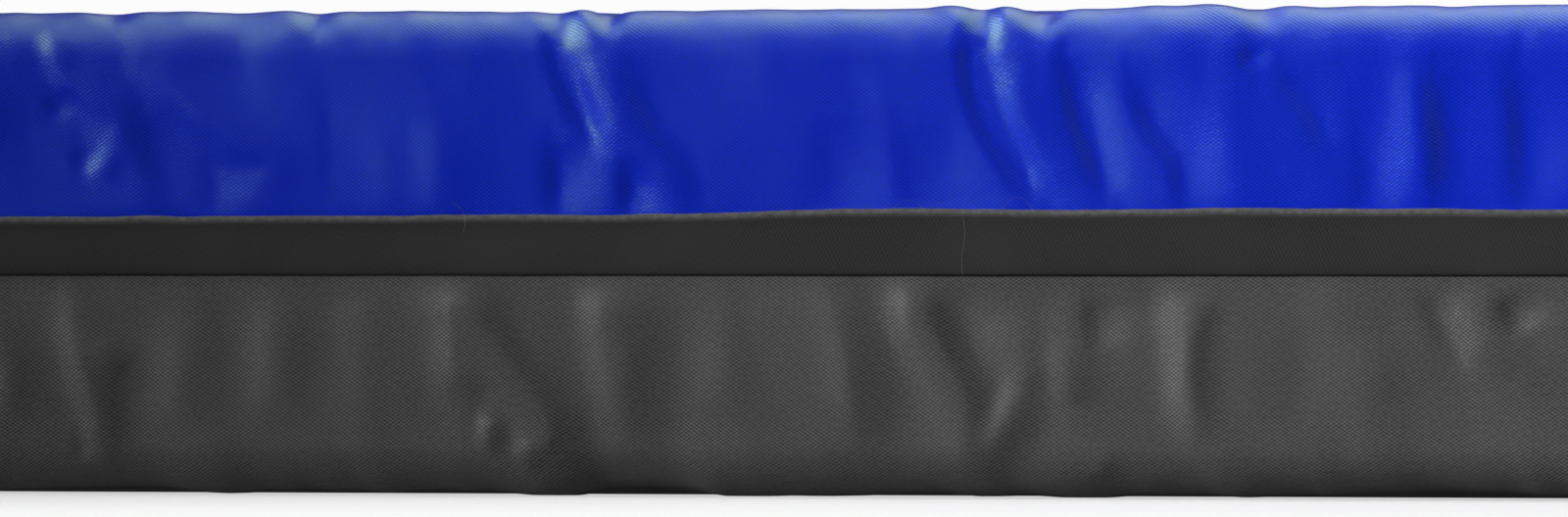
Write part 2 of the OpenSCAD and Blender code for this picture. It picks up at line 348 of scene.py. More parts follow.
def crease_height(along, up, points, rise, width):
    """Height that one crease adds, in millimetres."""
    line = smooth_line(points)
    best = np.full(along.shape, np.inf)
    side = np.zeros(along.shape)
    share = np.zeros(along.shape)
    steps = np.linalg.norm(np.diff(line, axis=0), axis=1)
    done = running_length(steps)
    for k, length in enumerate(steps):
        (ax, ay), (bx, by) = line[k], line[k + 1]
        tx, ty = (bx - ax) / length, (by - ay) / length
        t = np.clip((along - ax) * tx + (up - ay) * ty, 0, length)
        dx = along - (ax + t * tx)
        dy = up - (ay + t * ty)
        far = np.hypot(dx, dy)
        closer = far < best
        best = np.where(closer, far, best)
        side = np.where(closer, dy * tx - dx * ty, side)
        share = np.where(closer, (done[k] + t) / done[-1], share)
    taper = np.sin(math.pi * (0.06 + 0.88 * share)) ** 0.7
    left_reach, right_reach = GROOVE_REACH if rise < 0 else RIDGE_REACH
    reach = width * np.where(side >= 0, right_reach, left_reach)
    return rise * taper * np.exp(-(best / reach) ** 2)


def add_creases(along, up, creases):
    height = np.zeros(along.shape)
    for points, rise, width in creases:
        xs = [p[0] for p in points]
        close = (along > min(xs) - 5 * width) & (along < max(xs) + 5 * width)
        if close.any():
            height[close] += crease_height(along[close], up[close], points, rise, width)
    return height


def add_pinches(along, up, pinches):
    height = np.zeros(along.shape)
    for tip, low, lean, depth, width in pinches:
        t = (up - low) / (EDGE_END - low)
        centre = tip + lean * np.clip(t, 0, 1.5)
        d = (along - centre) / (width * (0.5 + 0.6 * np.clip(t, 0, 1.4)))
        fade = np.exp(-np.clip(t - 1.2, 0, None) ** 2)
        lip = 0.45 * np.exp(-((d + 2.1) / 1.1) ** 2)
        height += depth * ease(t * 1.5) * fade * (lip - np.exp(-d * d))
    return height


def random_creases(seed, low, high):
    """Creases of the same kind for the rest of the wall, as the photo shows only its middle."""
    pick = np.random.default_rng(seed)
    creases = []
    back = AROUND / 2 / MM - 40  # just short of the middle of the back
    d = -back
    while d < back:
        d += pick.uniform(14, 52)
        start = low + pick.uniform(0.6, 1.0) * (high - low)
        end = low + pick.uniform(0.0, 0.4) * (high - low)
        lean = pick.normal(0.2, 0.3) * (start - end)
        middle = (d + lean * 0.5 + pick.normal(0, 3), (start + end) / 2)
        rise = 0.5 + 1.9 * pick.uniform() ** 2
        width = pick.uniform(4.5, 8.5)
        if abs(d) > HAND_MADE:
            creases.append(([(d, start), middle, (d + lean, end)], rise, width))
    return creases


def random_pinches(seed):
    pick = np.random.default_rng(seed)
    pinches = []
    back = AROUND / 2 / MM - 60  # just short of the middle of the back
    d = -back
    while d < back:
        d += pick.uniform(50, 180)
        shape = (pick.uniform(133, 142), pick.uniform(-10, 8), pick.uniform(0.7, 2.0), pick.uniform(5, 7))
        if abs(d) > HAND_MADE:
            pinches.append((d, *shape))
    return pinches


def still_areas():
    """Where something is sewn or pressed on and the cloth lies still: (distance, height, half
    sizes) on the unrolled wall, in millimetres."""
    right_middle = (CX + ARC + CY) / MM
    areas = []
    for side in (-1, 1):
        for y in VENT_PLACES:
            areas.append((side * (right_middle + y), VENT_HEIGHT, 6, 6))
        areas.append((side * right_middle, 37, 402, 26))
        for leg in (-HANDLE_LEG, HANDLE_LEG):
            areas.append((side * HANDLE_PLACE + leg, 51, 16, 16))
            areas.append((side * (AROUND / 2 / MM - HANDLE_PLACE) + leg, 51, 16, 16))
    return areas


def stillness(along, up):
    """1 where the cloth moves freely, 0 where something holds it."""
    free = np.ones(along.shape)
    for d, z, half_d, half_z in still_areas():
        out = np.hypot(np.clip(np.abs(along - d) - half_d, 0, None),
                       np.clip(np.abs(up - z) - half_z, 0, None))
        free *= ease(out / HELD_MARGIN)
    return free


def fold_height(along, up, top_half):
    """How far the cloth stands off its plain outline, in millimetres."""
    if top_half:
        seed, gain, slow = 30, 1.7, 0.6
        height = gain * add_creases(along, up, BLUE_CREASES + random_creases(11, 86, 138))
        height += add_pinches(along, up, TOP_PINCHES + random_pinches(13))
    else:
        seed, gain, slow = 50, 2.5, 0.9
        height = gain * add_creases(along, up, GREY_CREASES + random_creases(12, 8, 66))
        height *= ease((up - 3) / 14)  # the folds die out towards the floor
    leaning = along + 0.22 * up
    # each noise's rise, how far it is drawn out upwards and the size of its cells
    for step, (rise, squash, cell) in enumerate(((slow, 0.5, 46), (slow, 0.4, 19), (0.24, 0.5, 8.3))):
        height += rise * value_noise(leaning, up * squash, cell, seed + step, AROUND / MM)
    height += 0.05 * value_noise(along, up, 4.1, seed + 3, AROUND / MM)
    corners = [side * (CX + ARC / 2 + k * (2 * CY + ARC)) / MM for side in (-1, 1) for k in (0, 1)]
    for corner in corners:
        near = np.exp(-((along - corner) / 26) ** 2)
        height -= 1.1 * np.exp(-((along - corner) / 1.1) ** 2) + 0.35 * near * np.sin(along * 0.7)
    return height * stillness(along, up)


# ---------------- cover halves
def wall_places():
    """Where the columns of a cover's mesh stand: finest in the middle of the front, fine at the
    corner seams and round the vents, coarse elsewhere."""
    def fill(low, high, step):
        return np.linspace(low, high, max(2, int(round((high - low) / step)) + 1))[:-1]

    right_middle = CX + ARC + CY
    fine = [(-WINDOW, WINDOW, 1.6 * MM)]
    for side in (-1, 1):
        for seam in (CX + ARC / 2, CX + ARC / 2 + 2 * CY + ARC):
            fine.append((side * seam - 4 * MM, side * seam + 4 * MM, 0.8 * MM))
        for y in VENT_PLACES:
            vent = side * (right_middle + y * MM)
            fine.append((vent - 6 * MM, vent + 6 * MM, 1.2 * MM))
    coarse = 6.5 * MM
    places = []
    at = -AROUND / 2
    for low, high, step in sorted(fine):
        places.append(fill(at, low, coarse))
        places.append(fill(low, high, step))
        at = high
    places.append(fill(at, AROUND / 2, coarse))
    return np.concatenate(places)


def cover_outline(hem):
    """Rows of (distance out, height, outward, upward, height on the flat cloth): from the zip tape
    out round the hem, up the wall, over the long edge and onto the flat."""
    inner = CORNER - TAPE_FACE
    rows = [(inner + r * MM, hem + z * MM, a, b, hem + z * MM) for r, z, a, b in (
        (0.1, 7.0, 1, 0), (0.1, 2.0, 1, 0), (0.7, 0.8, 0.7, -0.7), (2.2, 0.35, 0, -1))]
    rows += [(CORNER + r * MM, hem + z * MM, a, b, hem + z * MM) for r, z, a, b in (
        (-2.2, 0.1, 0, -1), (-0.9, 0.2, 0.4, -0.9), (-0.3, 0.8, 0.8, -0.6))]
    wall_top = TOP - EDGE
    for z in np.linspace(hem + 2 * MM, wall_top, int((wall_top - hem) / (1.9 * MM))):
        rows.append((CORNER, z, 1, 0, z))
    for t in np.linspace(0, math.pi / 2, 16)[1:]:
        rows.append((CORNER - EDGE + EDGE * math.cos(t), wall_top + EDGE * math.sin(t),
                     math.cos(t), math.sin(t), wall_top + EDGE * t))
    inset = 0.0
    for step in (2, 3, 4, 5):
        inset += step * MM
        rows.append((CORNER - EDGE - inset, TOP, 0, 1, wall_top + EDGE * math.pi / 2 + inset))
    return np.array(rows)


def fill_inside(ring, spacing):
    """Triangles and their own points that close a flat inside a ring of (x, y)."""
    margin = spacing * 0.7
    low = ring.min(0) + margin
    high = ring.max(0) - margin
    counts = ((high - low) / spacing).astype(int)
    x, y = np.meshgrid(np.linspace(low[0], high[0], counts[0]), np.linspace(low[1], high[1], counts[1]))
    inner = np.stack([x.ravel(), y.ravel()], 1)
    loop = [(i, (i + 1) % len(ring)) for i in range(len(ring))]
    flat = [Vector(p) for p in np.concatenate([ring, inner])]
    points, _, triangles, sources, _, _ = geometry.delaunay_2d_cdt(flat, loop, [], 1, 1e-7)
    return np.array([tuple(p) for p in points]), triangles, [s[0] if s else -1 for s in sources]


def cover_wall(rows, d, top_half):
    """The points of a cover half's wall and long edge, with its folds."""
    r, z, out, rise, flat_z = (rows[:, i][:, None] for i in range(5))
    along = np.broadcast_to(d / MM, (len(rows), len(d)))
    up = np.broadcast_to(flat_z / MM, along.shape)
    hem = flat_z[0] - 7 * MM
    free_after = (5 if top_half else 11) * MM
    push = fold_height(along, up if top_half else TOP / MM - up, top_half) * MM
    push = push * np.clip((flat_z - hem) / free_after, 0.1, 1)
    push[:5] = 0  # the hem that's turned in to the zip
    on_flat = np.clip((flat_z - (TOP - EDGE + EDGE * 1.2)) / (12 * MM), 0, 1)
    push = push * (1 - 0.5 * on_flat) - 0.7 * MM * on_flat
    push = np.clip(push, -2 * MM, 3 * MM)  # clear of the foam, and inside the solid's box
    if top_half:
        return swept(d, r + out * push, z + rise * push)
    # the bottom half is shaped upside down, and its lower edge lies unevenly on the floor
    lift = 0.6 + 0.7 * value_noise(along, 0 * along, 27, 55, AROUND / MM)
    push = push - lift * MM * np.clip((flat_z - TOP + EDGE) / (12 * MM), 0, 1)
    push = np.maximum(push, -2.4 * MM)
    height = TOP - np.minimum(z + rise * push, TOP - REST_GAP)
    return swept(d, r + out * push, height)


def outside_vents(middles):
    """Which faces, by their middles, aren't in a vent's hole."""
    keep = np.ones(len(middles), bool)
    for y in VENT_PLACES:
        at_vent = np.hypot(middles[:, 1] - y * MM, middles[:, 2] - VENT_HEIGHT * MM) < 4.4 * MM
        keep &= ~(at_vent & (np.abs(middles[:, 0]) > HALF_X - 20 * MM))
    return keep


def build_cover(name, top_half):
    """One half of the cover as a single skin with its folds."""
    rows = cover_outline(UPPER_HEM if top_half else TOP - LOWER_HEM - 1.2 * MM)
    d = wall_places()
    wall = cover_wall(rows, d, top_half)
    wall_points = wall.reshape(-1, 3)
    faces, row, column = grid_faces(len(rows), len(d), columns_close=True)
    if top_half:
        keep = outside_vents(wall_points[faces].mean(1))
        faces, row, column = faces[keep], row[keep], column[keep]
    # cloth coordinates: on the ends the threads run on from the flat top, so they change places
    d_next = np.append(d, d[0] + AROUND)
    middle = (d_next[column] + d_next[column + 1]) / 2
    end_wall = np.abs(np.abs(middle) - (CX + ARC + CY)) < CY + ARC / 2
    u = np.stack([d_next[column + i] for i in (0, 1, 1, 0)], 1)
    v = np.stack([rows[row + j, 4] for j in (0, 0, 1, 1)], 1)
    uvs = np.stack([np.where(end_wall[:, None], v, u), np.where(end_wall[:, None], u, v)], -1)
    # the flat, whose triangles share the wall's last row of points
    flat, triangles, sources = fill_inside(wall[-1, :, :2], (12 if top_half else 24) * MM)
    last_row = len(wall_points) - len(d)
    index = [last_row + s if 0 <= s < len(d) else len(wall_points) + i for i, s in enumerate(sources)]
    x, y = flat[:, 0], flat[:, 1]
    if top_half:
        flat_z = TOP + MM * (0.9 * value_noise(x, y, 0.13, 21) + 0.4 * value_noise(x, y, 0.045, 22) - 0.7)
    else:
        flat_z = np.full(len(flat), REST_GAP)
    points = np.concatenate([wall_points, np.stack([x, y, flat_z], 1)])
    uvs = np.concatenate([uvs.reshape(-1, 2), flat[np.array(triangles).ravel()]])
    all_faces = faces.tolist() + [[index[i] for i in t] for t in triangles]
    if not top_half:
        counts = [len(f) for f in all_faces]
        starts = np.cumsum([0] + counts[:-1])
        uvs = uvs[np.concatenate([np.arange(s, s + n)[::-1] for s, n in zip(starts, counts)])]
        all_faces = [f[::-1] for f in all_faces]
    return add_mesh(name, points, all_faces, uvs)


# ---------------- materials
class Material:
    """A material under construction, with short ways to add its nodes."""

    def __init__(self, name):
        self.material = bpy.data.materials.new(name)
        self.material.use_nodes = True
        self.nodes = self.material.node_tree.nodes
        self.links = self.material.node_tree.links
        self.shader = self.nodes["Principled BSDF"]

    def link(self, source, target):
        if isinstance(source, (int, float)):
            target.default_value = source
        elif isinstance(source, tuple):
            target.default_value = (*source, 1)
        else:
            self.links.new(source, target)

    def node(self, kind, **inputs):
        """A new node. Its inputs are named, with _ for a space, and are values or other nodes' outputs."""
        node = self.nodes.new("ShaderNode" + kind)
        for key, value in inputs.items():
            self.link(value, node.inputs[key.replace("_", " ")])
        return node

    def math(self, operation, *values):
        node = self.node("Math")
        node.operation = operation
        for value, target in zip(values, node.inputs):
            self.link(value, target)
        return node.outputs[0]

    def mix(self, share, first, second):
        node = self.node("Mix", Factor=share)
        node.data_type = "RGBA"
        inputs = {s.name: s for s in node.inputs if s.type == "RGBA"}
        self.link(first, inputs["A"])
        self.link(second, inputs["B"])
        return [s for s in node.outputs if s.type == "RGBA"][0]

    def noise(self, where, scale, detail=3.0):
        return self.node("TexNoise", Vector=where, Scale=scale, Detail=detail).outputs["Fac"]

    def span(self, value, low, high, to_low, to_high):
        node = self.node("MapRange", Value=value, From_Min=low, From_Max=high, To_Min=to_low,
                         To_Max=to_high)
        return node.outputs["Result"]

    def cloth(self):
        node = self.node("UVMap")
        node.uv_map = "cloth"
        return node.outputs["UV"]

    def place(self):
        return self.node("TexCoord").outputs["Object"]

    def weave(self, where, along, across, slant=0.0):
        """Plain weave: a bump on every other crossing, from 0 to 1."""
        x, y, _ = self.node("SeparateXYZ", Vector=where).outputs
        if slant:
            x = self.math("MULTIPLY_ADD", y, slant, x)
        columns = self.math("COSINE", self.math("MULTIPLY", x, math.pi / along))
        rows = self.math("COSINE", self.math("MULTIPLY", y, math.pi / across))
        return self.math("MULTIPLY_ADD", self.math("MULTIPLY", columns, rows), 0.5, 0.5)

    def bump(self, height, depth, strength=0.7):
        node = self.node("Bump", Strength=strength, Distance=depth, Height=height)
        self.link(node.outputs["Normal"], self.shader.inputs["Normal"])

    def finish(self, color, **numbers):
        names = {"roughness": "Roughness", "specular": "Specular IOR Level", "metallic": "Metallic",
                 "tint": "Specular Tint", "sheen": "Sheen Weight", "sheen_roughness": "Sheen Roughness"}
        self.link(color, self.shader.inputs["Base Color"])
        for key, value in numbers.items():
            self.link(value, self.shader.inputs[names[key]])
        return self.material


def grey(level, blue=0.0):
    """A grey, with a touch more blue where asked."""
    return (level, level, level + blue)


COVER_ALONG = 0.885 * MM  # from one thread column of the cover to the next
COVER_ACROSS = 0.585 * MM  # from one thread row to the next


def cover_cloth(name, dark, light, worn, roughness, specular, tint, depth):
    """Coated plain-woven polyester: thread tones, slow unevenness, paler worn patches, soft gloss."""
    m = Material(name)
    where = m.cloth()
    weave = m.weave(where, COVER_ALONG, COVER_ACROSS)
    slow = m.noise(where, 14, 4)
    fine = m.noise(where, 700, 2)
    tone = m.math("MULTIPLY_ADD", weave, 0.8, m.math("MULTIPLY_ADD", fine, 0.5, -0.15))
    color = m.mix(m.span(slow, 0.5, 0.75, 0.0, 0.35), m.mix(tone, dark, light), worn)
    m.bump(tone, depth)
    return m.finish(color, roughness=m.span(slow, 0.3, 0.7, roughness - 0.02, roughness + 0.06),
                    specular=specular, tint=tint)


def strip_cloth():
    """The flap's dull black cloth, with slanting thread columns and a paler free edge: painted highlight
    where the rolled edge faces the light above, made patchy by fluff.
    """
    m = Material("black_cloth")
    where = m.cloth()
    weave = m.weave(where, 0.62 * MM, 0.9 * MM, slant=-0.12)
    slow = m.noise(where, 25, 3)
    fine = m.noise(where, 1200, 3)
    tone = m.math("MULTIPLY_ADD", weave, 0.45, m.math("MULTIPLY", fine, 0.55))
    color = m.mix(tone, grey(0.007), grey(0.046))
    color = m.mix(m.span(slow, 0.45, 0.8, 0.0, 0.5), color, grey(0.039, 0.001))
    _, up_cloth, _ = m.node("SeparateXYZ", Vector=where).outputs  # distance from the sewn edge
    # painted highlight: the band over the rolled free edge is paler where the fold faces the overhead
    # light, broken up by fluff
    rim = m.span(up_cloth, 15.9 * MM, 17.2 * MM, 0.0, 1.0)
    back = m.span(up_cloth, 19.6 * MM, 20.4 * MM, 1.0, 0.0)
    fluff_and_highlight = m.span(m.noise(where, 420, 4), 0.25, 0.75, 0.35, 1.0)
    color = m.mix(m.math("MULTIPLY", m.math("MULTIPLY", rim, back), fluff_and_highlight), color, grey(0.11, 0.003))
    m.bump(tone, 0.12 * MM)
    return m.finish(color, roughness=0.72, specular=0.25, sheen=0.06, sheen_roughness=0.5)


def plain_threads(name, dark, light, scale, roughness, specular=0.4, depth=0.1 * MM, metallic=0.0):
    """A finish for small parts, in two tones with fine unevenness that the surface follows."""
    m = Material(name)
    where = m.place()
    fine = m.noise(where, scale, 3)
    color = m.mix(fine, dark, light)
    color = m.mix(m.span(m.noise(where, scale * 0.04, 2), 0.45, 0.75, 0.0, 0.4), color, light)
    m.bump(fine, depth, 0.5)
    return m.finish(color, roughness=roughness, specular=specular, metallic=metallic)


def woven_tape(name, dark, light, along, across, depth):
    """A woven tape or webbing: thread rows and columns on its own flat map."""
    m = Material(name)
    where = m.cloth()
    weave = m.weave(where, along, across)
    fine = m.noise(where, 900, 3)
    color = m.mix(m.math("MULTIPLY_ADD", weave, 0.7, m.math("MULTIPLY", fine, 0.3)), dark, light)
    m.bump(weave, depth, 0.8)
    return m.finish(color, roughness=0.6, specular=0.35, sheen=0.05, sheen_roughness=0.5)


def foam_finish(name, dark, light, cells):
    """Open-celled foam: small round cells."""
    m = Material(name)
    from_middle = m.node("TexVoronoi", Vector=m.place(), Scale=cells).outputs["Distance"]
    m.bump(from_middle, 0.6 * MM, 0.8)
    return m.finish(m.mix(from_middle, dark, light), roughness=0.95, specular=0.2)


def give(thing, material):
    """Give a piece its finish, in place of any it had."""
    thing.data.materials.clear()
    thing.data.materials.append(material)


def add_piece(thing, material, body, node=None):
    """Give a piece its finish, the body it rides on and the CAD node it stands in for, if any."""
    give(thing, material)
    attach(thing, body)
    if node:
        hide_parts(node)


def add_stitches(name, lines, body, radius=0.28 * MM):
    add_piece(add_threads(name, np.concatenate(lines), radius, 5), THREAD, body)


BLUE = cover_cloth("blue_cloth", (0.001, 0.006, 0.30), (0.005, 0.028, 0.78), (0.006, 0.026, 0.62),
                   0.30, 1.0, (0.50, 1.0, 0.05), 0.17 * MM)
GREY = cover_cloth("charcoal_cloth", grey(0.016), grey(0.134, 0.001), grey(0.088, 0.001),
                   0.42, 0.45, grey(1.0), 0.20 * MM)
BLACK = strip_cloth()
TAPE = plain_threads("zip_tape", grey(0.010), grey(0.035, 0.001), 1500, 0.75)
COIL = plain_threads("zip_coil", grey(0.012, 0.001), grey(0.035, 0.002), 300, 0.35, 0.5, 0.02 * MM)
SLIDER = plain_threads("slider_metal", grey(0.05, 0.003), grey(0.11, 0.005), 260, 0.32, 0.5,
                       0.02 * MM, 1.0)
NICKEL = plain_threads("bare_metal", (0.42, 0.41, 0.39), (0.58, 0.57, 0.55), 220, 0.24, 0.5,
                       0.02 * MM, 1.0)
WEBBING = woven_tape("webbing", grey(0.008), grey(0.045, 0.001), 1.3 * MM, 1.1 * MM, 0.25 * MM)
PATCH = woven_tape("patch_cloth", grey(0.010), grey(0.040, 0.001), 1.0 * MM, 1.0 * MM, 0.2 * MM)
GRIP = plain_threads("grip_sleeve", grey(0.012), grey(0.030, 0.001), 500, 0.62)
HOOK = plain_threads("hook_tape", grey(0.008), grey(0.060, 0.002), 1100, 0.5, 0.5, 0.8 * MM)
LOOP = plain_threads("loop_tape", grey(0.010), grey(0.050, 0.002), 700, 0.95, 0.2, 0.9 * MM)
THREAD = plain_threads("thread", grey(0.016, 0.001), grey(0.060, 0.002), 2500, 0.55)
FIRM = foam_finish("firm_foam", (0.35, 0.33, 0.26), (0.62, 0.60, 0.50), 900)
SOFT = foam_finish("soft_foam", (0.30, 0.33, 0.38), (0.55, 0.58, 0.62), 700)
LINT = plain_threads("lint", grey(0.10), grey(0.28), 2500, 0.8)


def make_covers():
    for node, top_half, material in (("top_cover", True, BLUE), ("bottom_cover", False, GREY)):
        cover = build_cover(node + "_cloth", top_half)
        add_piece(cover, material, "mat", node)


make_covers()


# ---------------- flaps and sewn strips
FLAP_STRAIGHT = 17  # the flap's height below its rolled edge, in mm


def flap_outline(height_wave, lean_wave):
    """A folded strip, seen from its end: up the outside, over the rolled free edge, down the inside.
    The waves are one value for each column."""
    outside = [(-0.2, -0.3), (0.9, -0.3), (1.45, 0.0), (1.65, 0.6), (1.75, 3), (1.85, 8), (1.9, 12),
               (1.95, 15)]
    inside = [(0.45, 14), (0.4, 9), (0.4, 4), (0.2, 1.2), (-0.4, 0.1)]
    roll = 1.3 * MM
    r, z = [], []

    def add_side(places):
        for out, rise in places:
            share = rise / FLAP_STRAIGHT
            r.append(CORNER + out * MM + lean_wave * share ** 2)
            z.append(FLAP_LOW + rise * MM + height_wave * share)

    add_side(outside)
    for turn in np.radians(np.arange(-20, 191, 30)):
        r.append(CORNER + roll + 1.1 * MM * math.cos(turn) + lean_wave)
        z.append(FLAP_HIGH - roll + roll * math.sin(turn) + height_wave)
    add_side(inside)
    return np.array(r), np.array(z)


def free_edge_wave(d):
    """How the flap's free edge goes up and down along the wall, in metres."""
    x = d / MM
    shown = np.interp(x, [-300, -255, -140, -60, -20, 20, 50, 95, 140, 205, 300],
                      [-0.4, -0.4, -0.2, 0.0, 0.5, 1.9, 1.9, 1.3, 1.9, 1.6, 1.2])
    smooth = wave(d, 70, 61) * 0.9 + 0.4
    share = np.clip((np.abs(x) - 260) / 60, 0, 1)
    return (shown * (1 - share) + smooth * share + 0.18 * wave(d, 14, 62)
            + 0.07 * wave(d, 3.5, 63)) * MM


def strip_places(start, end, fine_middle):
    """Where a flap's columns stand."""
    coarse, fine = 4 * MM, 1.2 * MM
    if not fine_middle:
        return np.linspace(start, end, int((end - start) / coarse) + 2)
    left = np.linspace(start, -WINDOW, int((-WINDOW - start) / coarse))[:-1]
    middle = np.linspace(-WINDOW, WINDOW, int(2 * WINDOW / fine))
    right = np.linspace(WINDOW, end, int((end - WINDOW) / coarse))[1:]
    return np.concatenate([left, middle, right])


def outline_length(r, z):
    """Distance down the cloth from the sewn edge, for each row of an outline."""
    return running_length(np.hypot(np.diff(r[:, 0]), np.diff(z[:, 0])))


def make_flap(node, start, end, fine_middle):
    """A zip flap, from start to end round the wall. It bends just above its foot, an (x, y) place."""
    d = strip_places(start, end, fine_middle)
    tip = np.clip(np.minimum(d - start, end - d) / (6 * MM), 0, 1)
    droop = -2.5 * MM * (1 - np.sqrt(1 - (1 - tip) ** 2))
    lean = MM * (0.12 * wave(d, 33, 64) + 0.05 * wave(d, 9, 65))
    r, z = flap_outline(free_edge_wave(d) + droop, lean)
    flap = grid_piece(node + "_cloth", swept(d, r, z), d, outline_length(r, z), tube=True)
    give(flap, BLACK)
    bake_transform(flap)
    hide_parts(node)
    return d, r, z


def make_lint(d, r, z):
    """Short hairs along the flap's free edge, thickest on its left and in its middle."""
    pick = np.random.default_rng(5)
    at = pick.uniform(-0.29, 0.29, 620)
    at = at[pick.uniform(size=len(at)) < np.where(at < 0.06, 0.95, 0.35)]
    edge_row = 10  # of the outline, a little way over its roll
    edge_r = np.interp(at, d, r[edge_row]) - 0.1 * MM
    edge_z = np.interp(at, d, z[edge_row]) - 0.25 * MM
    length = MM * (0.35 + 1.1 * pick.uniform(size=len(at)) ** 2)
    angle = pick.uniform(-1.3, 1.3, len(at))
    base = wall_line(at, edge_r, edge_z)
    ahead = np.stack([np.sin(angle), -pick.uniform(0.1, 0.7, len(at)), np.cos(angle)], 1)
    bend = np.stack([pick.normal(0, 0.4, len(at)), 0 * at, -np.abs(pick.normal(0, 0.3, len(at)))], 1)
    t = np.linspace(0, 1, 4)[None, :, None]
    lines = base[:, None] + (ahead[:, None] * t + bend[:, None] * t * t) * length[:, None, None]
    lint = add_threads("flap_lint", lines, 0.022 * MM, 3)
    add_piece(lint, LINT, "front_flap")


# long loose hairs that lie on the flap, as places on the unrolled wall in millimetres
STRAY_HAIRS = [
    [(59.0, 86.0), (59.6, 80.0), (58.5, 73.0), (59.3, 65.5)],
    [(71.0, 86.5), (74.5, 91.5), (79.0, 91.0), (82.5, 86.5)],
    [(-108.0, 90.5), (-105.0, 88.5), (-103.5, 85.5), (-104.0, 81.0)],
    [(36.0, 88.5), (41.0, 91.0), (45.0, 89.5), (47.5, 86.5)],
]


def make_stray_hairs():
    off_wall = 2.5 * MM
    lines = []
    for points in STRAY_HAIRS:
        d, z = smooth_line(points).T * MM
        lines.append(wall_line(d, CORNER + off_wall, z))
    hairs = add_threads("stray_hairs", lines, 0.04 * MM, 3)
    add_piece(hairs, LINT, "front_flap")


def make_sewn_strip(name, node, start, end):
    """A strip of the same cloth sewn down along both edges, with its stitches."""
    d = np.linspace(start, end, max(12, int((end - start) / (3 * MM))))
    high = (FLAP_HIGH - FLAP_LOW) / MM
    seam = 2.2  # from the strip's edge, in mm
    rows = [(0.35, 0.0), (1.2, 0.1), (1.5, 0.7), (1.2, seam), (1.55, 4), (1.6, 9), (1.55, 14),
            (1.2, high - seam), (1.5, high - 0.7), (1.2, high - 0.1), (0.35, high)]
    puff = 0.1 * wave(d, 12, 71)
    r = np.array([CORNER + (out + puff * (out > 1.5)) * MM for out, _ in rows])
    z = np.array([np.full(len(d), FLAP_LOW + rise * MM) for _, rise in rows])
    strip = grid_piece(name, swept(d, r, z), d, outline_length(r, z), tube=True)
    add_piece(strip, BLACK, "mat", node)
    count = int((end - start) / STITCH_PITCH)
    at = start + (np.arange(count)[:, None] + np.linspace(0.1, 0.82, 5)) * STITCH_PITCH
    lift = CORNER + (1.2 + 0.35 * np.array([-1, 0.6, 1, 0.6, -1])) * MM
    lines = [wall_line(at.ravel(), np.tile(lift, count), FLAP_LOW + rise * MM).reshape(count, 5, 3)
             for rise in (seam, high - seam)]
    add_stitches(name + "_stitches", lines, "mat", 0.3 * MM)


def end_wall_distance(y):
    """The distance round the wall to a place y on the right end; the left end's is minus that."""
    return CX + ARC + CY + y


def make_flaps():
    low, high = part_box("front_flap")
    make_lint(*make_flap("front_flap", low.x, high.x, True))
    make_stray_hairs()
    for side, node in ((-1, "left_flap"), (1, "right_flap")):
        start, end = sorted(side * end_wall_distance(corner.y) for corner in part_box(node))
        make_flap(node, start, end, False)
    corner_low, corner_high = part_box("front_right_corner_flap")
    start, end = corner_low.x, end_wall_distance(corner_high.y)
    make_sewn_strip("front_right_corner_cloth", "front_right_corner_flap", start, end)
    make_sewn_strip("front_left_corner_cloth", "front_left_corner_flap", -end, -start)
    start = end_wall_distance(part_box("back_seam_strip")[0].y)
    make_sewn_strip("back_seam_cloth", "back_seam_strip", start, AROUND - start)


make_flaps()


# ---------------- zip
def make_coils():
    """The two zip coils, as nylon helices whose loops reach past each other and lock."""
    low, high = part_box("upper_zip_coil")
    end = end_wall_distance(high.y)
    middle_r = CORNER - HALF_X + high.x - (high.z - low.z) / 2
    pitch = 2.2 * MM
    count = int(2 * end / pitch)
    points_per_turn = 9
    t = np.arange(count * points_per_turn) / points_per_turn
    turn = 2 * math.pi * t
    r = middle_r + 0.95 * MM * np.sin(turn)
    for name, side, offset in (("upper_zip_coil", 1, 0.0), ("lower_zip_coil", -1, 0.49)):
        d = -end + (t + offset) * 2 * end / (count + 1)
        z = ZIP_Z + (side * 2.0 + 1.9 * np.cos(turn)) * MM
        coil = add_threads(name + "_loops", [wall_line(d, r, z)], 0.36 * MM)
        add_piece(coil, COIL, "mat", name)


make_coils()


# ---------------- handles
def rounded_patch(middle, face, size, thick):
    """A square cloth patch with soft edges, centred on middle, on the front (-1) or back (1) wall."""
    s = np.sin(np.linspace(-1, 1, 15) * math.pi / 2)
    u, v = np.meshgrid(s, s)
    fall = np.clip((1 - np.maximum(np.abs(u), np.abs(v))) / 0.08, 0, 1)
    crown = 0.5 * MM * (1 - u * u) * (1 - v * v)
    lift = thick * (0.15 + 0.85 * np.sqrt(1 - (1 - fall) ** 2)) + crown
    half = size / 2 * (1 - 0.03 * np.abs(u * v) ** 8)
    points = np.array(middle) + np.stack([-face * u * half, face * lift, v * half], -1)
    return grid_piece("patch", points, s * size / 2, s * size / 2)


def join(name, parts):
    """One object from several, keeping their cloth maps."""
    for part in bpy.context.selected_objects:
        part.select_set(False)
    for part in parts:
        part.select_set(True)
    bpy.context.view_layer.objects.active = parts[0]
    bpy.ops.object.join()
    parts[0].name = name
    parts[0].data.name = name
    return parts[0]


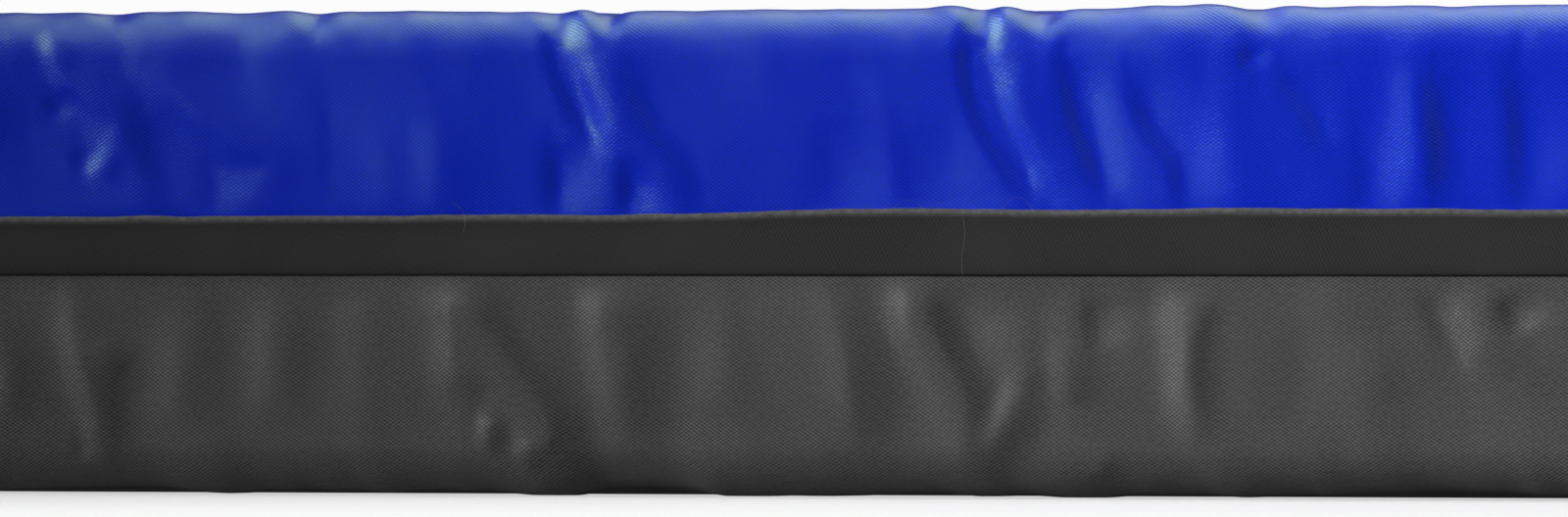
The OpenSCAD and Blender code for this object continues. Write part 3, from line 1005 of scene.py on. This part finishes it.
def ribbon(path, width, thick):
    """Flat webbing with rounded selvedges along a path of (xyz), as wide as it is in x."""
    path = np.asarray(path, float)
    across = np.array([1.0, 0, 0])
    along = np.gradient(path, axis=0)
    along /= np.linalg.norm(along, axis=1, keepdims=True)
    normal = np.cross(along, across)
    turns = np.linspace(0, 2 * math.pi, 21)[:-1]
    side = np.sign(np.cos(turns)) * np.abs(np.cos(turns)) ** 0.25 * width / 2
    face = np.sign(np.sin(turns)) * np.abs(np.sin(turns)) ** 0.5 * thick / 2
    points = path[None] + across * side[:, None, None] + normal[None] * face[:, None, None]
    length = running_length(np.linalg.norm(np.diff(path, axis=0), axis=1))
    girth = running_length(np.hypot(np.diff(side), np.diff(face)))
    return grid_piece("leg", points, length, girth, tube=True)


def make_anchors(prefix, legs, face):
    """The two patches that a handle's legs are sewn down by, with their stitches."""
    low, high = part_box(prefix + "_handle_anchors")
    size = high.z - low.z
    middle_z = (low.z + high.z) / 2
    thick = (high.y - low.y) - 0.5 * MM
    h = size / 2 - 3 * MM
    y = face * (HALF_Y + thick + 0.35 * MM)
    patches, lines = [], []
    for x in legs:
        patches.append(rounded_patch((x, face * HALF_Y, middle_z), face, size, thick))
        corners = [(x + i * h, y, middle_z + j * h) for i, j in ((-1, -1), (1, -1), (1, 1), (-1, 1))]
        runs = ((0, 1), (1, 2), (2, 3), (3, 0), (0, 2), (1, 3))
        lines += [stitch_lines(corners[a], corners[b], (0, face, 0)) for a, b in runs]
    anchors = join(prefix + "_handle_patches", patches)
    add_piece(anchors, PATCH, "mat", prefix + "_handle_anchors")
    add_stitches(prefix + "_handle_stitches", lines, "mat")


def make_webbing(prefix, legs, face):
    """The two webbing legs that hang from the patches and turn in to the grip."""
    low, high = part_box(prefix + "_handle_webbing")
    grip_low, grip_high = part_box(prefix + "_handle_grip")
    leg_y = (low.y + high.y) / 2
    grip_y = (grip_low.y + grip_high.y) / 2
    grip_z = (grip_low.z + grip_high.z) / 2
    width, thick = 30 * MM, high.y - low.y
    bend_z = grip_z + 9 * MM
    legs_made, lines = [], []
    outside = leg_y + face * (thick / 2 + 0.1 * MM)
    for x in legs:
        path = [(x, leg_y, z) for z in np.linspace(high.z - 0.3 * MM, bend_z, 14)]
        path += [(x, leg_y + (grip_y - leg_y) * s, bend_z - 6 * MM * s) for s in (0.3, 0.6, 1.0)]
        legs_made.append(ribbon(path, width, thick))
        for edge in (x - width / 2 + 3 * MM, x + width / 2 - 3 * MM):
            lines.append(stitch_lines((edge, outside, high.z - 2 * MM), (edge, outside, grip_z + 12 * MM),
                                      (0, face, 0)))
    straps = join(prefix + "_handle_straps", legs_made)
    add_piece(straps, WEBBING, prefix + "_handle", prefix + "_handle_webbing")
    add_stitches(prefix + "_strap_stitches", lines, prefix + "_handle")


def make_grip(prefix):
    """The ribbed sleeve round a handle's grip."""
    low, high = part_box(prefix + "_handle_grip")
    middle = (low + high) / 2
    half = (high.x - low.x) / 2
    radius = (high.z - low.z) / 2
    x = np.linspace(-half, half, 161)
    ribs = np.where(np.abs(x) < half - 12 * MM, 0.45 * MM * np.cos(2 * math.pi * x / (8 * MM)), 0)
    round_end = np.clip((half - np.abs(x)) / (2 * MM), 0, 1)
    r = (radius - 0.5 * MM + ribs) - 2 * MM * (1 - np.sqrt(1 - (1 - round_end) ** 2))
    turns = np.linspace(0, 2 * math.pi, 33)[:-1]
    points = np.stack([np.broadcast_to(middle.x + x, (len(turns), len(x))),
                       middle.y + np.cos(turns)[:, None] * r, middle.z + np.sin(turns)[:, None] * r], -1)
    grip = grid_piece(prefix + "_handle_sleeve", points, x, turns * radius, tube=True)
    add_piece(grip, GRIP, prefix + "_handle", prefix + "_handle_grip")


def make_handle(prefix):
    """One carry handle: two sewn patches, a webbing loop and a ribbed sleeve round its grip."""
    low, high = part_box(prefix + "_handle_anchors")
    face = -1 if low.y < 0 else 1
    patch_size = high.z - low.z
    legs = [low.x + patch_size / 2, high.x - patch_size / 2]
    make_anchors(prefix, legs, face)
    make_webbing(prefix, legs, face)
    make_grip(prefix)


for corner_name in ("front_left", "front_right", "back_left", "back_right"):
    make_handle(corner_name)


# ---------------- foam, joining strips, stage
def make_foam():
    """The three foam layers inside, as soft-edged slabs kept just clear of the cover's folds."""
    d = np.linspace(-AROUND / 2, AROUND / 2, 321)[:-1]
    turns = np.linspace(-math.pi / 2, math.pi / 2, 13)
    wobble = 0.2 * MM * wave(d, 40, 81)
    clear = 5.5 * MM
    for node, material in (("core_top_layer", FIRM), ("core_middle_block", SOFT),
                           ("core_bottom_layer", FIRM)):
        low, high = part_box(node)
        half = (high.z - low.z) / 2 - 1.2 * MM
        z = (low.z + high.z) / 2 + half * np.sign(np.sin(turns)) * np.abs(np.sin(turns)) ** 0.6
        groove = -10 * MM * np.exp(-((z - ZIP_Z) / (13 * MM)) ** 4)
        edge_round = 3 * MM * (np.abs(np.cos(turns)) ** 0.3 - 1)
        r = CORNER - clear + edge_round + groove
        if node != "core_middle_block":
            far = np.clip((np.abs(z - TOP / 2) - (TOP / 2 - EDGE)) / EDGE, 0, 1)
            r = r - EDGE * (1 - np.sqrt(1 - far ** 2))
        points = swept(d, r[:, None] + wobble, z[:, None] + 0 * wobble)
        half_way = (0.5, 0.5, 1)  # a ring this far in over each flat, which one face then closes
        points = np.concatenate([points[:1] * half_way, points, points[-1:] * half_way])
        faces, _, _ = grid_faces(len(points), len(d), columns_close=True)
        ring = np.arange(len(d))
        ends = [ring[::-1], (len(points) - 1) * len(d) + ring]
        slab = add_mesh(node + "_slab", points.reshape(-1, 3), faces.tolist() + ends)
        add_piece(slab, material, "mat", node)


make_foam()


def make_strip_stitches():
    """Rows of stitches along the edges of the hook strip and the loop strip."""
    for node, side, slot_name in (("left_hook_strip", -1, "hook_tape"),
                                  ("right_loop_strip", 1, "loop_tape")):
        low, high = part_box(node)
        x = side * max(abs(low.x), abs(high.x))
        y0, y1 = low.y + 3 * MM, high.y - 3 * MM
        z0, z1 = low.z + 3 * MM, high.z - 3 * MM
        corners = [(x, y0, z0), (x, y1, z0), (x, y1, z1), (x, y0, z1)]
        lines = [stitch_lines(a, b, (side, 0, 0)) for a, b in zip(corners, corners[1:] + corners[:1])]
        add_stitches(node + "_stitches", lines, "mat", 0.3 * MM)


make_strip_stitches()


def finish_cad_parts():
    """The CAD parts whose shape stays get their materials here."""
    for nodes, material in (
            (("upper_zip_tape", "lower_zip_tape"), TAPE),
            (("zip_end_stops", "left_vent_eyelets", "right_vent_eyelets"), NICKEL),
            (("left_slider_body", "right_slider_body", "left_pull_tab", "right_pull_tab"), SLIDER),
            (("left_hook_strip",), HOOK),
            (("right_loop_strip",), LOOP)):
        for node in nodes:
            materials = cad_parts[node].data.materials
            materials.clear()
            materials.append(material)


finish_cad_parts()


def make_stage():
    """A pale floor and a white background that light nothing themselves."""
    size = 150
    corners = [(x * size, y * size, -0.3 * MM) for x, y in ((-1, -1), (1, -1), (1, 1), (-1, 1))]
    floor = add_mesh("floor", corners, [(0, 1, 2, 3)], smooth=False)
    m = Material("floor")
    m.link(grey(1.0), m.shader.inputs["Emission Color"])
    m.link(0.60, m.shader.inputs["Emission Strength"])
    floor.data.materials.append(m.finish(grey(0.36), roughness=0.95, specular=0.1))
    floor.visible_diffuse = False
    floor.visible_glossy = False
    world = bpy.data.worlds.new("world")
    bpy.context.scene.world = world
    world.use_nodes = True
    nodes = world.node_tree.nodes
    links = world.node_tree.links
    seen = nodes.new("ShaderNodeBackground")
    seen.inputs["Color"].default_value = (*grey(0.975), 1)
    dim = nodes["Background"]
    dim.inputs["Color"].default_value = (*grey(0.04), 1)
    choose = nodes.new("ShaderNodeMixShader")
    links.new(nodes.new("ShaderNodeLightPath").outputs["Is Camera Ray"], choose.inputs[0])
    links.new(dim.outputs[0], choose.inputs[1])
    links.new(seen.outputs[0], choose.inputs[2])
    links.new(choose.outputs[0], nodes["World Output"].inputs["Surface"])


# name, place, what it looks at, its two sizes, watts, and what it's left out of. The plain light and
# the sheen come from different places, so that each can follow the photo.
SOFTBOXES = [
    ("overhead", (1.3, -0.85, 1.75), (1.3, -0.85, 0), (2.2, 2.2), 18, "gloss"),
    ("overhead_gloss", (0.1, 0.27, 1.76), (0.1, 0.27, 0), (2.0, 2.35), 40.5, "diffuse"),
    ("left_key", (-7.5, -3.7, 1.2), (0, -0.5, 0.08), (2.0, 2.2), 350, "gloss"),
    ("left_gloss", (-3.9, -2.6, 0.9), (0, -0.5, 0.08), (1.2, 1.4), 10, ""),
    ("upper_left", (-2.3, -0.9, 1.6), (0, -0.5, 0.12), (1.4, 1.4), 55, "diffuse"),
    ("right_front", (0.72, -1.5, 0.35), (0.35, -0.5, 0.08), (0.4, 0.4), 2.4, "gloss"),
    ("near_key", (-0.9, -1.3, 0.45), (0.7, -0.5, 0.08), (0.35, 0.35), 1.65, "gloss"),
    ("floor_bounce", (0, -0.505, 0.0005), (0, -0.505, 1), (1.9, 0.03), 0.028, "gloss"),
    ("right_back", (3.0, 3.4, 1.6), (0, 0.2, 0.1), (2.0, 1.6), 110, "gloss"),
]
NEAR_KEY_SPREAD = math.radians(44)  # narrow, so that the wall brightens towards the right


def make_lights():
    for name, place, target, size, power, left_out in SOFTBOXES:
        data = bpy.data.lights.new(name, "AREA")
        data.shape = "RECTANGLE"
        data.size, data.size_y = size
        data.energy = power
        light = add_object(name, data)
        aim(light, place, Vector(target) - Vector(place))
        light.visible_camera = False
        light.visible_glossy = left_out != "gloss"
        light.visible_diffuse = left_out != "diffuse"
        if name == "near_key":
            data.spread = NEAR_KEY_SPREAD


make_stage()
make_lights()
bpy.context.scene.view_settings.view_transform = "Standard"
